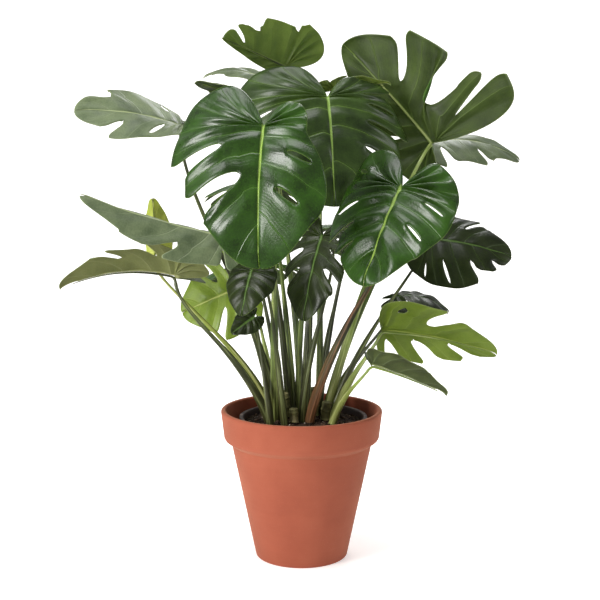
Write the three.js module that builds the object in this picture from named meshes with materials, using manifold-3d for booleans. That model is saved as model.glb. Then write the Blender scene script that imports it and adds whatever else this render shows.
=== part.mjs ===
// Potted Swiss cheese plant (Monstera deliciosa): a clay pot, the thin nursery pot inside it,
// potting soil, short woody canes, and two dozen leaves, each a blade on its own stalk.
// Millimetres, +Z up. The origin is the centre of the clay pot's foot, on the surface it stands on.
import * as THREE from "three";
import Module from "manifold-3d";
import { mergeVertices } from "three/addons/utils/BufferGeometryUtils.js";

// clay pot
const potHeight = 276;
const footRadius = 85.5;
const shoulderRadius = 130;      // body radius under the collar
const shoulderHeight = 213;
const collarLowRadius = 143.5;
const collarLowHeight = 223;
const collarRadius = 150;        // at the top
const lipWidth = 10;
const clayFloor = 13;
const drainRadius = 7;           // three drainage holes
const drainCircle = 42;

// nursery pot, standing in the clay pot and a little off its centre
const nurseryOffset = [3, 2];
const nurseryFoot = 68;
const nurseryTop = 112.5;
const nurseryBottomZ = 13.5;
const nurseryRimZ = 262;
const nurseryWall = 1.5;
const nurseryHoleRadius = 5;
const nurseryHoleCircle = 50;

// soil and the plant
const soilZ = 256;
const rootZ = 260;               // where the stalks and canes begin
const seatGap = 12;              // a stalk ends this far below its blade
const bladeThickness = 1.6;
const stalkBase = 6.5;           // stalk radii, large leaves
const stalkTip = 3.2;
const smallStalkBase = 5;        // and small ones
const smallStalkTip = 2.6;
const smallLeaf = 170;           // blades no longer than this are small

// Canes: x, y, radius, height above the soil, lean in x and y
const canes = [
  [-30, 12, 9, 44, -3, 1],
  [22, 22, 10, 52, 4, 2],
  [-14, -34, 8, 24, -1, -2],
  [44, -12, 9, 32, 3, -1],
];

// Leaves. seat is where the stalk meets the blade. heading is the way the midrib leaves the seat, seen
// from above, in degrees from +X towards +Y; dip is how far it points down; roll turns the blade about it.
// length is seat to tip along the midrib, wide the breadth against a standard blade, lobe the extra size
// of the basal lobes, gap the half angle of the sinus between them. bend and back curl the blade down
// ahead of and behind the seat, fold lifts each half at the midrib, arch curls it down towards the
// margin (left half, right half), twist turns the blade along its length, and quilt is the height of
// the ribs between the side veins. wide, lobe, gap and pinch may be one number or [left, right]; pinch
// narrows the basal lobe. root is where the stalk leaves the soil.
// A cut is [angle from the tip seen from the seat, where it starts from midrib 0 to margin 1,
// half width in degrees]. A fourth number below 1 closes it short of the margin, as a hole, and a
// fifth is the angle by which its inner end leans.
const leaves = [
  { name: "front_broad", seat: [-60, -250, 780], heading: -100, dip: 58, roll: 0, length: 225,
    wide: 1.05, lobe: 0.12, gap: [20, 14], bend: 45, back: -15, fold: [25, 12], arch: [40, 40],
    twist: 0, quilt: 6, pinch: [0.5, 0], root: [-50, -16],
    left: [[52, 0.42, 1.6, 0.8], [30, 0.3, 1.5, 0.7]],
    right: [[63, 0.42, 6], [37, 0.26, 8]] },
  { name: "right_broad", seat: [157, -235, 685], heading: -132, dip: 50, roll: 8, length: 172,
    wide: [1, 1.2], lobe: [0, 0.4], gap: [12, 8], bend: 20, back: -5, fold: [5, 5], arch: [25, 35],
    twist: 0, quilt: 9, root: [16, -32],
    left: [[66, 0.5, 0.9, 0.85], [40, 0.5, 0.9, 0.85]],
    right: [[120, 0.5, 2.5, 0.68], [62, 0.5, 2, 0.85], [40, 0.55, 2.5], [24, 0.6, 1.5]] },
  { name: "crown_middle", seat: [46, -22, 844], heading: -80, dip: 58, roll: 0, length: 200,
    wide: 1.38, lobe: [0, 0.22], gap: [14, 5], bend: 30, back: 0, fold: [8, 5], arch: [30, 40],
    twist: 0, quilt: 6, pinch: [0.2, 0], root: [8, 0],
    left: [[100, 0.5, 3], [74, 0.5, 2.5, 0.93], [52, 0.45, 3], [32, 0.5, 2]],
    right: [[75, 0.55, 2, 0.9], [48, 0.5, 3]] },
  { name: "crown_right", seat: [240, 40, 765], heading: 148, dip: -48, roll: -88, length: 250,
    wide: [1, 0.5], lobe: [0.32, 0.1], gap: [50, 30], bend: 15, back: 20, fold: [0, -10], arch: [10, 20],
    twist: 0, quilt: 5, root: [48, 16],
    left: [[90, 0.38, 4, 1, -6], [69, 0.27, 14, 1, -20], [27, 0.33, 4]],
    right: [[60, 0.5, 3]] },
  { name: "crown_left", seat: [-30, 110, 910], heading: -141, dip: -17, roll: -63, length: 158,
    wide: [0.85, 0.2], lobe: [0.14, 0], gap: [20, 30], bend: 10, back: 10, fold: [0, -15], arch: [20, 20],
    twist: 0, quilt: 5, root: [-6, 50],
    left: [[76, 0.9, 6], [30, 0.78, 8], [13, 0.25, 2.5]],
    right: [] },
  { name: "left_high", seat: [-220, 20, 795], heading: -170, dip: -20, roll: 16, length: 190,
    wide: 0.68, lobe: 0, gap: 20, bend: 25, back: 10, fold: [10, 10], arch: [30, 30],
    twist: 48, quilt: 3, root: [-48, 36],
    left: [[95, 0.55, 3], [62, 0.4, 3, 0.85], [30, 0.6, 5]],
    right: [[100, 0.5, 3], [66, 0.45, 3, 0.85], [22, 0.75, 8]] },
  { name: "back_high", seat: [-35, 235, 880], heading: -174, dip: -36, roll: 30, length: 175,
    wide: 0.32, lobe: 0, gap: 20, bend: 60, back: 10, fold: [10, 10], arch: [30, 30],
    twist: 0, quilt: 3, root: [0, 64],
    left: [[85, 0.5, 4]],
    right: [[60, 0.5, 5]] },
  { name: "left_crown_small", seat: [-92, 92, 847], heading: -166, dip: -20, roll: -8, length: 112,
    wide: [0.7, 1], lobe: 0, gap: 20, bend: 10, back: 10, fold: [10, 10], arch: [30, 30],
    twist: 0, quilt: 3, root: [-24, 40],
    left: [[85, 0.5, 3], [55, 0.45, 4]],
    right: [[85, 0.5, 3], [55, 0.45, 4]] },
  { name: "left_middle", seat: [-140, -60, 600], heading: -172, dip: -12, roll: 24, length: 250,
    wide: 0.4, lobe: 0, gap: 20, bend: -10, back: 10, fold: [-35, -25], arch: [10, 20],
    twist: 0, quilt: 3, root: [-50, 11],
    left: [[95, 0.5, 3], [52, 0.6, 6]],
    right: [[85, 0.5, 3], [50, 0.5, 5]] },
  { name: "left_low", seat: [-230, -20, 525], heading: -174, dip: -14, roll: -18, length: 205,
    wide: 0.6, lobe: 0, gap: 20, bend: 40, back: 10, fold: [35, 30], arch: [10, 20],
    twist: 0, quilt: 3, root: [-64, -8],
    left: [[100, 0.5, 3], [62, 0.5, 4], [36, 0.55, 4]],
    right: [[100, 0.5, 4], [70, 0.42, 5], [46, 0.45, 6]] },
  { name: "left_low_back", seat: [-120, 110, 490], heading: 176, dip: 22, roll: 68, length: 125,
    wide: 1.15, lobe: 0, gap: 30, bend: 10, back: 10, fold: [5, 5], arch: [10, 10],
    twist: 0, quilt: 3, root: [-48, 48],
    left: [[100, 0.45, 9], [45, 0.35, 6]],
    right: [[105, 0.5, 6], [72, 0.35, 7], [45, 0.35, 8]] },
  { name: "front_small", seat: [-85, -140, 545], heading: -118, dip: 56, roll: 0, length: 80,
    wide: 1, lobe: 0, gap: 20, bend: 20, back: 10, fold: [5, 5], arch: [30, 30],
    twist: 0, quilt: 3, root: [-32, -47],
    left: [],
    right: [] },
  { name: "front_lowest", seat: [-85, -60, 455], heading: -148, dip: 28, roll: 56, length: 50,
    wide: 0.8, lobe: 0, gap: 20, bend: 20, back: 10, fold: [5, 5], arch: [30, 30],
    twist: 0, quilt: 3, root: [-58, -50],
    left: [],
    right: [] },
  { name: "front_middle", seat: [35, -90, 600], heading: -128, dip: 60, roll: 0, length: 150,
    wide: 0.8, lobe: 0, gap: 20, bend: 20, back: 10, fold: [5, 5], arch: [20, 20],
    twist: 0, quilt: 3, root: [0, -24],
    left: [[108, 0.5, 4], [82, 0.42, 6], [60, 0.38, 7], [38, 0.45, 5]],
    right: [[108, 0.5, 4], [82, 0.42, 6], [60, 0.38, 7], [38, 0.45, 5]] },
  { name: "right_middle", seat: [235, 10, 590], heading: -20, dip: 2, roll: -48, length: 150,
    wide: 0.95, lobe: 0, gap: 20, bend: 30, back: 10, fold: [0, 0], arch: [40, 30],
    twist: 0, quilt: 3, root: [56, 8],
    left: [[75, 0.5, 2, 0.9], [40, 0.5, 3]],
    right: [[88, 0.6, 1.5, 0.9], [58, 0.5, 1.6, 0.9], [30, 0.6, 3], [14, 0.7, 2.5]] },
  { name: "right_high", seat: [255, 150, 770], heading: -12, dip: -12, roll: -22, length: 175,
    wide: 0.8, lobe: 0, gap: 20, bend: 50, back: 10, fold: [5, 5], arch: [40, 40],
    twist: 0, quilt: 3, root: [48, 48],
    left: [[100, 0.5, 4], [62, 0.45, 3, 0.9], [30, 0.6, 4]],
    right: [[100, 0.45, 5], [70, 0.4, 6], [34, 0.6, 3]] },
  { name: "right_low", seat: [144, -60, 430], heading: -6, dip: 2, roll: 40, length: 202,
    wide: [0.6, 0.85], lobe: [0, 0.1], gap: [70, 75], bend: 20, back: 10, fold: [5, 5], arch: [45, 10],
    twist: 0, quilt: 3, root: [60, -16],
    left: [[80, 0.4, 9], [48, 0.35, 9], [22, 0.4, 5]],
    right: [[100, 0.45, 2, 0.8], [66, 0.5, 4, 0.7], [36, 0.35, 9]] },
  { name: "right_lowest", seat: [121, -135, 382], heading: -6, dip: 16, roll: 10, length: 135,
    wide: 0.75, lobe: [0.12, 0], gap: [60, 60], bend: 10, back: 10, fold: [25, 35], arch: [10, 10],
    twist: 0, quilt: 3, root: [58, -44],
    left: [],
    right: [] },
  { name: "right_back_small", seat: [185, 125, 470], heading: -10, dip: -14, roll: -10, length: 110,
    wide: 1, lobe: 0, gap: 20, bend: 60, back: 10, fold: [5, 5], arch: [30, 30],
    twist: 0, quilt: 3, root: [48, 32],
    left: [[70, 0.5, 3]],
    right: [[60, 0.5, 4]] },
  { name: "crown_small", seat: [58, 66, 866], heading: -16, dip: -12, roll: 20, length: 110,
    wide: 0.6, lobe: 0, gap: 20, bend: 20, back: 10, fold: [35, 5], arch: [10, 10],
    twist: 0, quilt: 3, root: [34, 40],
    left: [[85, 0.5, 3], [55, 0.45, 4]],
    right: [[85, 0.5, 3], [55, 0.45, 4]] },
  { name: "back_middle", seat: [-60, 260, 690], heading: 100, dip: 4, roll: 0, length: 230,
    wide: 1, lobe: 0.08, gap: 25, bend: 50, back: 10, fold: [8, 8], arch: [35, 35],
    twist: 0, quilt: 6, root: [-16, 56],
    left: [[108, 0.5, 4], [82, 0.42, 6], [60, 0.38, 7], [38, 0.45, 5]],
    right: [[100, 0.55, 2], [74, 0.45, 2.5], [54, 0.42, 3], [34, 0.5, 2]] },
  { name: "back_right", seat: [100, 250, 600], heading: 70, dip: 4, roll: 0, length: 220,
    wide: 1, lobe: 0.08, gap: 25, bend: 50, back: 10, fold: [8, 8], arch: [35, 35],
    twist: 0, quilt: 6, root: [32, 56],
    left: [[100, 0.55, 2], [74, 0.45, 2.5], [54, 0.42, 3], [34, 0.5, 2]],
    right: [[108, 0.5, 4], [82, 0.42, 6], [60, 0.38, 7], [38, 0.45, 5]] },
  { name: "back_left", seat: [-90, 240, 520], heading: 112, dip: 4, roll: 0, length: 190,
    wide: 1, lobe: 0.08, gap: 25, bend: 50, back: 10, fold: [8, 8], arch: [35, 35],
    twist: 0, quilt: 5, root: [-38, 60],
    left: [[85, 0.5, 3], [55, 0.45, 4]],
    right: [[100, 0.55, 2], [74, 0.45, 2.5], [54, 0.42, 3], [34, 0.5, 2]] },
  { name: "left_unfurling", seat: [-280, 100, 560], heading: -90, dip: -80, roll: 8, length: 105,
    wide: 0.6, lobe: 0, gap: 20, bend: 10, back: 10, fold: [35, 35], arch: [-30, -30],
    twist: 0, quilt: 3, root: [-58, 44],
    left: [],
    right: [] },
];

const rad = THREE.MathUtils.degToRad;
const clamp = THREE.MathUtils.clamp;
const plant = new THREE.Group();
const wasm = await Module();
wasm.setup();

function material(color, roughness) {
  return new THREE.MeshStandardMaterial({ color, roughness, metalness: 0 });
}
const clay = material(0xb96a50, 0.85);
const plastic = material(0x6f4a40, 0.55);
const soilMaterial = material(0x33261d, 0.95);
const bark = material(0x6f6a4a, 0.8);
const leafGreen = material(0x2f5a2c, 0.4);
const youngGreen = material(0x9cab52, 0.5);
const stalkGreen = material(0x6f8048, 0.5);

function addMesh(name, geometry, meshMaterial) {
  const mesh = new THREE.Mesh(geometry, meshMaterial);
  mesh.name = name;
  plant.add(mesh);
  return mesh;
}

// ---- turned pieces -------------------------------------------------------------------------------

function turned(profile, segments) {
  const geometry = new THREE.LatheGeometry(profile.map(([r, z]) => new THREE.Vector2(r, z)), segments);
  geometry.rotateX(Math.PI / 2);
  return geometry;
}

function solid(geometry) {
  const bare = geometry.index ? geometry.clone() : mergeVertices(geometry);
  bare.deleteAttribute("normal");
  bare.deleteAttribute("uv");
  const merged = mergeVertices(bare, 1e-3);
  const triangles = [];
  const index = merged.index.array;
  for (let i = 0; i < index.length; i += 3) {
    const [a, b, c] = [index[i], index[i + 1], index[i + 2]];
    if (a !== b && b !== c && c !== a) triangles.push(a, b, c);
  }
  const made = new wasm.Manifold(new wasm.Mesh({
    numProp: 3,
    vertProperties: new Float32Array(merged.attributes.position.array),
    triVerts: new Uint32Array(triangles),
  }));
  return made;
}

function fromSolid(manifold) {
  const mesh = manifold.getMesh();
  const geometry = new THREE.BufferGeometry();
  geometry.setAttribute("position", new THREE.BufferAttribute(new Float32Array(mesh.vertProperties), 3));
  geometry.setIndex(new THREE.BufferAttribute(new Uint32Array(mesh.triVerts), 1));
  geometry.computeVertexNormals();
  return geometry;
}

function holeTools(count, circle, radius, low, high, x, y, turn) {
  const tools = [];
  for (let i = 0; i < count; i++) {
    const angle = turn + (2 * Math.PI * i) / count;
    const tool = new THREE.CylinderGeometry(radius, radius, high - low, 16);
    tool.rotateX(Math.PI / 2);
    tool.translate(x + circle * Math.cos(angle), y + circle * Math.sin(angle), (low + high) / 2);
    tools.push(solid(tool));
  }
  return tools;
}

const clayProfile = [
  [0, 0], [footRadius - 1.5, 0], [footRadius, 1.5],
  [shoulderRadius, shoulderHeight], [collarLowRadius, collarLowHeight],
  [collarRadius - 0.5, potHeight - 4], [collarRadius - 1.5, potHeight - 1], [collarRadius - 4, potHeight],
  [collarRadius - lipWidth + 2.5, potHeight], [collarRadius - lipWidth, potHeight - 2],
  [collarLowRadius - 8, collarLowHeight + 3], [shoulderRadius - 9, shoulderHeight - 1],
  [footRadius - 11.5, clayFloor], [0, clayFloor],
];
let clayPot = solid(turned(clayProfile, 36));
for (const tool of holeTools(3, drainCircle, drainRadius, -5, clayFloor + 5, 0, 0, Math.PI / 6)) {
  clayPot = clayPot.subtract(tool);
}
addMesh("clay_pot", fromSolid(clayPot), clay);

const nurseryProfile = [
  [0, nurseryBottomZ], [nurseryFoot - 1, nurseryBottomZ], [nurseryFoot, nurseryBottomZ + 1],
  [nurseryTop, nurseryRimZ - 6], [nurseryTop + 5, nurseryRimZ - 5], [nurseryTop + 6.5, nurseryRimZ - 2],
  [nurseryTop + 6, nurseryRimZ], [nurseryTop + 4, nurseryRimZ], [nurseryTop - 0.5, nurseryRimZ - 3],
  [nurseryTop - nurseryWall, nurseryRimZ - 6], [nurseryFoot - nurseryWall, nurseryBottomZ + nurseryWall + 0.5],
  [0, nurseryBottomZ + nurseryWall],
];
const [offX, offY] = nurseryOffset;
const nurseryShell = turned(nurseryProfile, 32);
nurseryShell.translate(offX, offY, 0);
let nurseryPot = solid(nurseryShell);
for (const tool of holeTools(6, nurseryHoleCircle, nurseryHoleRadius,
  nurseryBottomZ - 3, nurseryBottomZ + 5, offX, offY, 0)) {
  nurseryPot = nurseryPot.subtract(tool);
}
addMesh("nursery_pot", fromSolid(nurseryPot), plastic);

function nurseryInside(z) {
  const low = nurseryBottomZ + nurseryWall + 0.5;
  const t = (z - low) / (nurseryRimZ - 6 - low);
  return nurseryFoot - nurseryWall + (nurseryTop - nurseryFoot) * t;
}
const soilFoot = nurseryBottomZ + nurseryWall + 1;
const soilEdge = soilZ - 5;
const soilShape = turned([
  [0, soilFoot], [nurseryInside(soilFoot) - 1.2, soilFoot], [nurseryInside(soilEdge) - 1.2, soilEdge],
  [95, soilZ - 2], [60, soilZ], [0, soilZ],
], 28);
soilShape.translate(offX, offY, 0);
addMesh("soil", fromSolid(solid(soilShape)), soilMaterial);

// ---- stalks and canes: a cylinder bent along a curve ----------------------------------------------

function bentCylinder(curve, lowRadius, highRadius, sides, steps) {
  const geometry = new THREE.CylinderGeometry(highRadius, lowRadius, 1, sides, steps);
  const frames = curve.computeFrenetFrames(steps, false);
  const points = curve.getSpacedPoints(steps);
  const position = geometry.attributes.position;
  for (let i = 0; i < position.count; i++) {
    const step = Math.round((position.getY(i) + 0.5) * steps);
    const p = points[step].clone()
      .addScaledVector(frames.normals[step], position.getX(i))
      .addScaledVector(frames.binormals[step], -position.getZ(i));
    position.setXYZ(i, p.x, p.y, p.z);
  }
  geometry.computeVertexNormals();
  return geometry;
}

canes.forEach(([x, y, radius, height, leanX, leanY], i) => {
  const foot = new THREE.Vector3(x, y, rootZ - 2);
  const head = new THREE.Vector3(x + leanX, y + leanY, rootZ + height);
  const middle = foot.clone().lerp(head, 0.5).add(new THREE.Vector3(leanY * 0.4, -leanX * 0.4, 0));
  const curve = new THREE.QuadraticBezierCurve3(foot, middle, head);
  addMesh(`cane_${i + 1}`, bentCylinder(curve, radius, radius * 0.8, 10, 4), bark);
});

// ---- blades ---------------------------------------------------------------------------------------

// unit vectors of a blade at its seat: along the midrib, to its right, and out of its upper face
function bladeAxes(leaf) {
  const [h, d, r] = [rad(leaf.heading), rad(leaf.dip), rad(leaf.roll)];
  const along = new THREE.Vector3(Math.cos(d) * Math.cos(h), Math.cos(d) * Math.sin(h), -Math.sin(d));
  const level = new THREE.Vector3(Math.sin(h), -Math.cos(h), 0);
  const upright = new THREE.Vector3().crossVectors(level, along);
  const right = level.clone().multiplyScalar(Math.cos(r)).addScaledVector(upright, Math.sin(r));
  const up = upright.clone().multiplyScalar(Math.cos(r)).addScaledVector(level, -Math.sin(r));
  return { along, right, up };
}

// a setting may be one number for both halves, or [left, right]
function ofHalf(value, side) {
  return Array.isArray(value) ? value[side < 0 ? 0 : 1] : value;
}

function smooth(x) {
  const q = clamp(x, 0, 1);
  return q * q * (3 - 2 * q);
}

// distance from the seat to the margin, for a blade of length 1, at an angle from the tip
function margin(leaf, side, angle) {
  const sinus = Math.PI - rad(ofHalf(leaf.gap, side));
  const heart = 0.58 + 0.22 * Math.cos(angle) + 0.22 * Math.exp(-((angle / 0.33) ** 2));
  const lobe = ofHalf(leaf.lobe, side) * Math.exp(-(((angle - 2.1) / 0.55) ** 2));
  const narrow = 1 - ofHalf(leaf.pinch ?? 0, side) * smooth((angle - 0.55) / 0.8);
  return (heart + lobe) * narrow * (1 - Math.exp(-(((sinus - angle) / 0.2) ** 2)));
}

// where along the midrib the side vein that reaches the margin at this angle leaves it
function veinStart(angle) {
  return 0.85 * clamp(1 - angle / rad(84), 0, 1) ** 1.65;
}

// a point on the flat half blade: a side vein is a quadratic curve from the midrib to the margin
function flatPoint(leaf, side, angle, v) {
  const r = margin(leaf, side, angle);
  const edge = [r * Math.sin(angle) * ofHalf(leaf.wide, side), r * Math.cos(angle)];
  const start = veinStart(angle);
  const middle = [0.55 * edge[0], start + 0.28 * (edge[1] - start)];
  return [
    leaf.length * (2 * v * (1 - v) * middle[0] + v * v * edge[0]),
    leaf.length * ((1 - v) ** 2 * start + 2 * v * (1 - v) * middle[1] + v * v * edge[1]),
  ];
}

// the same point on the bent blade, side -1 left or 1 right, and drop below the smooth surface
function bentPoint(leaf, axes, side, x, y, drop) {
  const half = side < 0 ? 0 : 1;
  const curl = rad(y >= 0 ? leaf.bend : leaf.back) / leaf.length || 1e-6;
  const phi = curl * y;
  const forward = Math.sin(phi) / curl;
  const fall = -(1 - Math.cos(phi)) / curl;
  const fold = rad(leaf.fold[half]);
  const arch = rad(leaf.arch[half]) / (0.6 * leaf.length) || 1e-6;
  const slope = fold - arch * x;
  const out = (Math.sin(fold) - Math.sin(slope)) / arch;
  const rise = (Math.cos(slope) - Math.cos(fold)) / arch - drop;
  const up = axes.up.clone().multiplyScalar(Math.cos(phi)).addScaledVector(axes.along, Math.sin(phi));
  const turn = rad(leaf.twist) * y / leaf.length;
  const right = axes.right.clone().multiplyScalar(Math.cos(turn)).addScaledVector(up, Math.sin(turn));
  const normal = up.clone().multiplyScalar(Math.cos(turn)).addScaledVector(axes.right, -Math.sin(turn));
  return new THREE.Vector3(...leaf.seat)
    .addScaledVector(axes.along, forward).addScaledVector(axes.up, fall)
    .addScaledVector(right, side * out).addScaledVector(normal, rise);
}

const rows = [0, 0.34, 0.58, 0.8, 1];    // the solid's points along a side vein

// half width of a cut at v, in degrees
function cutWidth(cut, v) {
  if (!cut) return 0;
  const [, from, width, to = 1] = cut;
  if (to >= 1) {
    const q = clamp((v - from) / (1 - from), 0, 1);
    return width * q ** 0.4 * (1.1 - 0.35 * q) + 3 * clamp((v - 0.8) / 0.2, 0, 1) ** 3;
  }
  const q = clamp((v - from) / (Math.min(to, rows[3]) - from), 0, 1);
  return width * 2 * Math.sqrt(q * (1 - q));
}

// how far a cut leans away from its angle at v, in degrees
function cutSkew(cut, v) {
  if (!cut || cut.length < 5) return 0;
  return cut[4] * smooth(v / cut[1]) * (1 - clamp((v - cut[1]) / (1 - cut[1]), 0, 1));
}

const ribSpan = 32;                      // degrees between the side veins that the solid follows

// angles of the ribs' edges from the sinus to the tip, each with the cut there, if any
function ribEdges(leaf, side) {
  const cuts = side < 0 ? leaf.left : leaf.right;
  const marks = [[180 - ofHalf(leaf.gap, side), null], ...[...cuts].sort((a, b) => b[0] - a[0]).map((c) => [c[0], c]), [0, null]];
  const edges = [marks[0]];
  for (let i = 1; i < marks.length; i++) {
    const [from, to] = [marks[i - 1][0], marks[i][0]];
    const count = Math.max(1, Math.round((from - to) / ribSpan));
    for (let k = 1; k < count; k++) edges.push([from + ((to - from) * k) / count, null]);
    edges.push(marks[i]);
  }
  return edges;
}

function bladeGeometry(leaf) {
  const axes = bladeAxes(leaf);
  const points = [];
  const seen = new Map();
  function vertex(side, angle, v) {
    const [x, y] = flatPoint(leaf, side, angle, v);
    const sinus = Math.PI - rad(ofHalf(leaf.gap, side));
    const settle = 1 - Math.exp(-(((sinus - angle) / 0.4) ** 2));
    const drop = -leaf.quilt * 0.5 * Math.sqrt(Math.sin(Math.PI * v) || 0) * settle * 0.3;
    const p = bentPoint(leaf, axes, side, x, y, drop);
    const key = `${p.x.toFixed(2)} ${p.y.toFixed(2)} ${p.z.toFixed(2)}`;
    if (!seen.has(key)) {
      seen.set(key, points.length);
      points.push(p);
    }
    return seen.get(key);
  }
  const triangles = [];
  function triangle(side, a, b, c) {
    if (a === b || b === c || c === a) return;
    if (side > 0) triangles.push([a, b, c]);
    else triangles.push([a, c, b]);
  }
  const sides = [-1, 1].map((side) => [side, ribEdges(leaf, side)]);
  const midrib = [...new Set(sides.flatMap(([, edges]) => edges.map(([angle]) => angle)))]
    .sort((a, b) => b - a);
  for (const [side, edges] of sides) {
    const ribs = [];
    for (let k = 1; k < edges.length; k++) {
      ribs.push(rows.map((v) => [
        rad(edges[k - 1][0] + cutSkew(edges[k - 1][1], v) - cutWidth(edges[k - 1][1], v)),
        rad(edges[k][0] + cutSkew(edges[k][1], v) + cutWidth(edges[k][1], v)),
      ]));
    }
    for (const rib of ribs) {
      for (let i = 1; i < rows.length - 1; i++) {
        const a = vertex(side, rib[i][0], rows[i]);
        const b = vertex(side, rib[i + 1][0], rows[i + 1]);
        const c = vertex(side, rib[i + 1][1], rows[i + 1]);
        const d = vertex(side, rib[i][1], rows[i]);
        triangle(side, a, b, c);
        triangle(side, a, c, d);
      }
    }
    // the strip beside the midrib joins two rows that have different angles
    const inner = midrib.map((angle) => [rad(angle), vertex(side, rad(angle), 0)]);
    const outer = ribs.flatMap((rib) => rib[1].map((angle) => [angle, vertex(side, angle, rows[1])]));
    let [i, j] = [0, 0];
    while (i < inner.length - 1 || j < outer.length - 1) {
      const stepInner = j === outer.length - 1
        || (i < inner.length - 1 && inner[i + 1][0] >= outer[j + 1][0]);
      if (stepInner) {
        triangle(side, inner[i][1], outer[j][1], inner[i + 1][1]);
        i++;
      } else {
        triangle(side, inner[i][1], outer[j][1], outer[j + 1][1]);
        j++;
      }
    }
  }
  return thicken(points, triangles, bladeThickness / 2);
}

// both faces of a sheet, half a thickness each way along its normals, and the walls round its edges
function thicken(points, triangles, half) {
  const normals = points.map(() => new THREE.Vector3());
  const edges = new Map();
  for (const [a, b, c] of triangles) {
    const ab = points[b].clone().sub(points[a]);
    const ac = points[c].clone().sub(points[a]);
    const n = ab.cross(ac);
    for (const i of [a, b, c]) normals[i].add(n);
    for (const [p, q] of [[a, b], [b, c], [c, a]]) edges.set(`${p} ${q}`, [p, q]);
  }
  const position = [];
  for (const sign of [1, -1]) {
    points.forEach((p, i) => {
      const moved = p.clone().addScaledVector(normals[i].clone().normalize(), sign * half);
      position.push(moved.x, moved.y, moved.z);
    });
  }
  const n = points.length;
  const index = [];
  for (const [a, b, c] of triangles) index.push(a, b, c, a + n, c + n, b + n);
  for (const [p, q] of edges.values()) {
    if (!edges.has(`${q} ${p}`)) index.push(q, p, p + n, q, p + n, q + n);
  }
  const geometry = new THREE.BufferGeometry();
  geometry.setAttribute("position", new THREE.Float32BufferAttribute(position, 3));
  geometry.setIndex(index);
  geometry.computeVertexNormals();
  return geometry;
}

// a stalk rises from the soil and turns at its knee to meet the blade from below
function stalkCurve(leaf) {
  const { along, up } = bladeAxes(leaf);
  const knee = rad(20);
  const into = up.clone().multiplyScalar(Math.cos(knee)).addScaledVector(along, Math.sin(knee));
  const seat = new THREE.Vector3(...leaf.seat);
  const foot = new THREE.Vector3(leaf.root[0], leaf.root[1], rootZ);
  const span = seat.distanceTo(foot);
  const lean = new THREE.Vector3(
    0.6 * (seat.x - foot.x) / (seat.z - foot.z), 0.6 * (seat.y - foot.y) / (seat.z - foot.z), 1).normalize();
  const head = seat.clone().addScaledVector(into, -seatGap);
  return new THREE.CubicBezierCurve3(
    foot, foot.clone().addScaledVector(lean, 0.45 * span),
    seat.clone().addScaledVector(into, -0.25 * span), head);
}

for (const leaf of leaves) {
  const young = leaf.name === "left_unfurling";
  const small = leaf.length <= smallLeaf;
  addMesh(`leaf_${leaf.name}`, bladeGeometry(leaf), young ? youngGreen : leafGreen);
  addMesh(`stalk_${leaf.name}`,
    bentCylinder(stalkCurve(leaf), small ? smallStalkBase : stalkBase, small ? smallStalkTip : stalkTip, 6, 8),
    stalkGreen);
}

export default plant;
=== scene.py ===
import math
import bmesh
import bpy
import numpy as np
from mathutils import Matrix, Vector


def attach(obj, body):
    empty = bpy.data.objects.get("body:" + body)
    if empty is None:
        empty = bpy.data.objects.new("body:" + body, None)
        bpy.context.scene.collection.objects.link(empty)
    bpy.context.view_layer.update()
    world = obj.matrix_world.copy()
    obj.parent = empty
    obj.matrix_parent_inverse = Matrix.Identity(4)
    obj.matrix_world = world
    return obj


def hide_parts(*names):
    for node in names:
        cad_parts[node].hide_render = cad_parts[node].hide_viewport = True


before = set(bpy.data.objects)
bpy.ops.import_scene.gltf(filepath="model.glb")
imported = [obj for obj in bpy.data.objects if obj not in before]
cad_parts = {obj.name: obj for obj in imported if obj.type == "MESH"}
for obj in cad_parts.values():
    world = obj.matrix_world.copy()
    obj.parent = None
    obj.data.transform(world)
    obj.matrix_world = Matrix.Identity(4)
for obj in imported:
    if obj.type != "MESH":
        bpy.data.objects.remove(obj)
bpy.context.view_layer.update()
print("frame loaded:", len(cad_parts), "nodes")

mm = 0.001                # the settings below are in mm and degrees

# ---- camera, light and floor

cameraPlace = dict(x=-3, y=-1900, z=695, pitch=6.5, lens=62.5)

camera = bpy.data.objects.new("camera", bpy.data.cameras.new("camera"))
bpy.context.scene.collection.objects.link(camera)
camera.data.lens = cameraPlace["lens"]
camera.data.sensor_width = 36
camera.location = [cameraPlace[axis] * mm for axis in "xyz"]
camera.rotation_euler = (math.radians(90 - cameraPlace["pitch"]), 0, 0)
bpy.context.scene.camera = camera

lights = [
    dict(name="windowLeft", place=(-2000, -1500, 1050), size=900, power=60, colour=(1.0, 0.99, 0.97)),
    dict(name="overhead", place=(-300, -300, 2700), size=1300, power=28),
    dict(name="skyLeft", place=(-1700, -500, 2300), size=900, power=16),
    dict(name="softRight", place=(1900, -1200, 1500), size=700, power=14, colour=(1.0, 1.0, 0.99)),
    dict(name="backTop", place=(300, 1500, 2100), size=1100, power=26),
]
aimHeight = 500           # the lamps point at the middle of the plant
for setting in lights:
    lamp = bpy.data.lights.new(setting["name"], "AREA")
    lamp.shape = "DISK"
    lamp.size = setting["size"] * mm
    lamp.energy = setting["power"]
    lamp.color = setting.get("colour", (1, 1, 1))
    holder = bpy.data.objects.new(setting["name"], lamp)
    holder.location = [v * mm for v in setting["place"]]
    aim = Vector((0, 0, aimHeight * mm)) - holder.location
    holder.rotation_euler = aim.to_track_quat("-Z", "Y").to_euler()
    bpy.context.scene.collection.objects.link(holder)

world = bpy.data.worlds.new("paleRoom")
world.use_nodes = True
world.node_tree.nodes["Background"].inputs["Color"].default_value = (1.0, 1.0, 1.0, 1)
world.node_tree.nodes["Background"].inputs["Strength"].default_value = 0.4
bpy.context.scene.world = world
bpy.context.scene.view_settings.view_transform = "Standard"


# ---- small tools

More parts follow.
